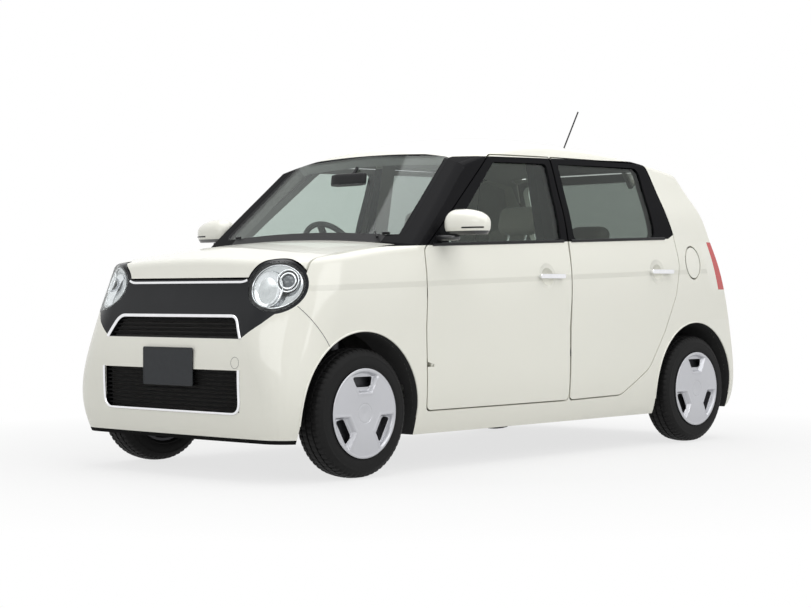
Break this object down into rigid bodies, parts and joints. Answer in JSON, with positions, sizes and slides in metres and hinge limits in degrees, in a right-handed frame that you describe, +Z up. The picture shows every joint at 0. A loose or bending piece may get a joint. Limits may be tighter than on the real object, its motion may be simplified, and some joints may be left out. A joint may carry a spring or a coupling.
{
  "type": "kei car",
  "caption": "Small five-door kei car with opening doors, hood, tailgate and fuel lid, steered front wheels, rolling wheels, glazed cabin and seats.",
  "frame": {"origin": "middle of the overall box on the ground", "axes": "+Z up, the nose faces -Y, the car's left is +X"},
  "size_m": [1.834, 3.394, 1.7841],
  "materials": {
    "body_paint": "gloss pearl cream",
    "tinted_glass": "clear, lightly green",
    "clear_lens": "clear",
    "lamp_chrome": "bright",
    "red_lens": "gloss",
    "gloss_black": "gloss",
    "black_plastic": "matte",
    "chrome_trim": "polished",
    "cabin_plastic": "grained",
    "seat_fabric": "woven",
    "engine_alloy": "as cast",
    "exhaust_steel": "dull",
    "chassis_iron": "black painted",
    "tyre_rubber": "matte",
    "wheel_steel": "black painted",
    "cover_silver": "silver painted"
  },
  "bodies": {
    "body": {"antenna": "black_plastic", "dashboard": "cabin_plastic", "engine": "engine_alloy", "exhaust": "exhaust_steel", "face_panel": "gloss_black", "fender_left": "body_paint", "fender_right": "body_paint", "floor": "body_paint", "front_bumper": "body_paint", "front_seats": "seat_fabric", "front_suspension": "chassis_iron", "grilles": "black_plastic", "headlamp_bowls": "lamp_chrome", "headlamp_lenses": "clear_lens", "hinges": "chassis_iron", "rear_axle": "chassis_iron", "rear_bumper": "body_paint", "rear_seat": "seat_fabric", "roof": "body_paint", "side_frame_left": "body_paint", "side_frame_right": "body_paint", "tail_lamps": "red_lens", "windscreen": "tinted_glass"},
    "hood": {"hood": "body_paint"},
    "tailgate": {"tailgate": "body_paint", "tailgate_glass": "tinted_glass"},
    "fuel_lid": {"fuel_lid": "body_paint"},
    "steering_wheel": {"steering_wheel": "cabin_plastic"},
    "knuckle_left": {"knuckle_left": "chassis_iron"},
    "knuckle_right": {"knuckle_right": "chassis_iron"},
    "front_door_left": {"front_door_left": "body_paint", "front_door_glass_left": "tinted_glass", "front_door_handle_left": "chrome_trim", "mirror_left": "body_paint"},
    "rear_door_left": {"rear_door_left": "body_paint", "rear_door_glass_left": "tinted_glass", "rear_door_handle_left": "chrome_trim"},
    "front_door_right": {"front_door_right": "body_paint", "front_door_glass_right": "tinted_glass", "front_door_handle_right": "chrome_trim", "mirror_right": "body_paint"},
    "rear_door_right": {"rear_door_right": "body_paint", "rear_door_glass_right": "tinted_glass", "rear_door_handle_right": "chrome_trim"},
    "wheel_front_left": {"tyre_front_left": "tyre_rubber", "wheel_front_left": "wheel_steel", "cover_front_left": "cover_silver"},
    "wheel_front_right": {"tyre_front_right": "tyre_rubber", "wheel_front_right": "wheel_steel", "cover_front_right": "cover_silver"},
    "wheel_rear_left": {"tyre_rear_left": "tyre_rubber", "wheel_rear_left": "wheel_steel", "cover_rear_left": "cover_silver"},
    "wheel_rear_right": {"tyre_rear_right": "tyre_rubber", "wheel_rear_right": "wheel_steel", "cover_rear_right": "cover_silver"}
  },
  "joints": [
    {"name": "front_door_left_hinge", "type": "hinge", "parent": "body", "child": "front_door_left", "pos_m": [0.7224, -0.7965, 0.48], "axis": [0, 0, -1], "range_deg": [0, 65]},
    {"name": "rear_door_left_hinge", "type": "hinge", "parent": "body", "child": "rear_door_left", "pos_m": [0.7224, 0.2455, 0.5], "axis": [0, 0, -1], "range_deg": [0, 65]},
    {"name": "front_door_right_hinge", "type": "hinge", "parent": "body", "child": "front_door_right", "pos_m": [-0.7224, -0.7965, 0.48], "axis": [0, 0, 1], "range_deg": [0, 65]},
    {"name": "rear_door_right_hinge", "type": "hinge", "parent": "body", "child": "rear_door_right", "pos_m": [-0.7224, 0.2455, 0.5], "axis": [0, 0, 1], "range_deg": [0, 65]},
    {"name": "hood_hinge", "type": "hinge", "parent": "body", "child": "hood", "pos_m": [0, -1.0005, 0.966], "axis": [-1, 0, 0], "range_deg": [0, 50]},
    {"name": "tailgate_hinge", "type": "hinge", "parent": "body", "child": "tailgate", "pos_m": [0, 1.3115, 1.392], "axis": [1, 0, 0], "range_deg": [0, 75]},
    {"name": "fuel_lid_hinge", "type": "hinge", "parent": "body", "child": "fuel_lid", "pos_m": [0.714, 1.2195, 0.941], "axis": [0.1426, 0, -0.9898], "range_deg": [0, 80]},
    {"name": "steer_left", "type": "hinge", "parent": "body", "child": "knuckle_left", "pos_m": [0.545, -1.2325, 0.2785], "axis": [0, 0, 1], "range_deg": [-32, 32]},
    {"name": "steer_right", "type": "hinge", "parent": "body", "child": "knuckle_right", "pos_m": [-0.545, -1.2325, 0.2785], "axis": [0, 0, 1], "range_deg": [-32, 32]},
    {"name": "steering_wheel_turn", "type": "hinge", "parent": "body", "child": "steering_wheel", "pos_m": [-0.34, -0.3525, 0.975], "axis": [0, 0.8829, 0.4695], "range_deg": [-480, 480]},
    {"name": "wheel_front_left_spin", "type": "hinge", "parent": "knuckle_left", "child": "wheel_front_left", "pos_m": [0.6525, -1.2325, 0.2785], "axis": [1, 0, 0], "continuous": true},
    {"name": "wheel_front_right_spin", "type": "hinge", "parent": "knuckle_right", "child": "wheel_front_right", "pos_m": [-0.6525, -1.2325, 0.2785], "axis": [1, 0, 0], "continuous": true},
    {"name": "wheel_rear_left_spin", "type": "hinge", "parent": "body", "child": "wheel_rear_left", "pos_m": [0.6525, 1.2875, 0.2785], "axis": [1, 0, 0], "continuous": true},
    {"name": "wheel_rear_right_spin", "type": "hinge", "parent": "body", "child": "wheel_rear_right", "pos_m": [-0.6525, 1.2875, 0.2785], "axis": [1, 0, 0], "continuous": true}
  ],
  "couplings": [
    {"joint": "steer_right", "follows": "steer_left", "ratio": 1},
    {"joint": "steering_wheel_turn", "follows": "steer_left", "ratio": 15}
  ]
}
